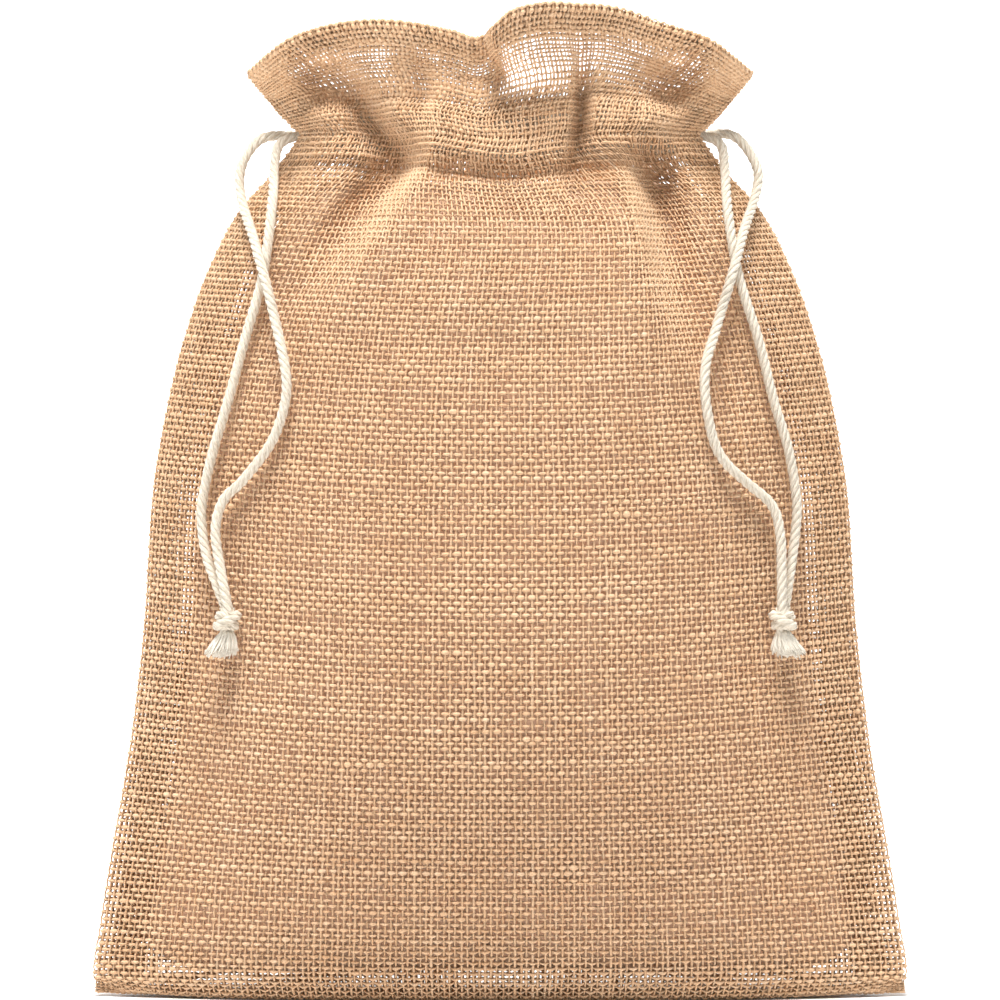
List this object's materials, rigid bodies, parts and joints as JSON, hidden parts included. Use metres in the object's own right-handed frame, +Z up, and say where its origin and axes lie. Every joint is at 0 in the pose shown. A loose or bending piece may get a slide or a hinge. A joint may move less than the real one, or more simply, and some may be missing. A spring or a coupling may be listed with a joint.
{
  "type": "drawstring gift pouch",
  "caption": "Upright pouch of open-weave jute with a gathered neck, a ruffled open mouth and knotted cotton draw cords at both sides.",
  "frame": {"origin": "on the ground under the middle of the pouch", "axes": "+X to the right seen from the front, the front panel faces -Y, +Z up through the mouth"},
  "size_m": [0.2492, 0.1016, 0.3064],
  "materials": {
    "jute": "open plain weave, matt",
    "cotton_cord": "twisted, matt",
    "thread": "sewing thread, matt"
  },
  "bodies": {
    "pouch": {"front_panel": "jute", "back_panel": "jute", "front_casing": "jute", "back_casing": "jute", "left_side_stitch": "thread", "right_side_stitch": "thread", "left_frill_stitch": "thread", "right_frill_stitch": "thread", "bottom_stitch": "thread", "front_lower_casing_stitch": "thread", "front_upper_casing_stitch": "thread", "front_hem_stitch": "thread", "back_lower_casing_stitch": "thread", "back_upper_casing_stitch": "thread", "back_hem_stitch": "thread", "left_cord_loop": "cotton_cord", "right_cord_loop": "cotton_cord"},
    "left_cord": {"left_inner_leg": "cotton_cord", "left_outer_leg": "cotton_cord", "left_knot": "cotton_cord", "left_tassel": "cotton_cord"},
    "right_cord": {"right_inner_leg": "cotton_cord", "right_outer_leg": "cotton_cord", "right_knot": "cotton_cord", "right_tassel": "cotton_cord"}
  },
  "joints": [
    {"name": "left_cord_pull", "type": "slide", "parent": "pouch", "child": "left_cord", "axis": [-1, 0, 0], "range_m": [0, 0.024]},
    {"name": "right_cord_pull", "type": "slide", "parent": "pouch", "child": "right_cord", "axis": [1, 0, 0], "range_m": [0, 0.024]}
  ]
}
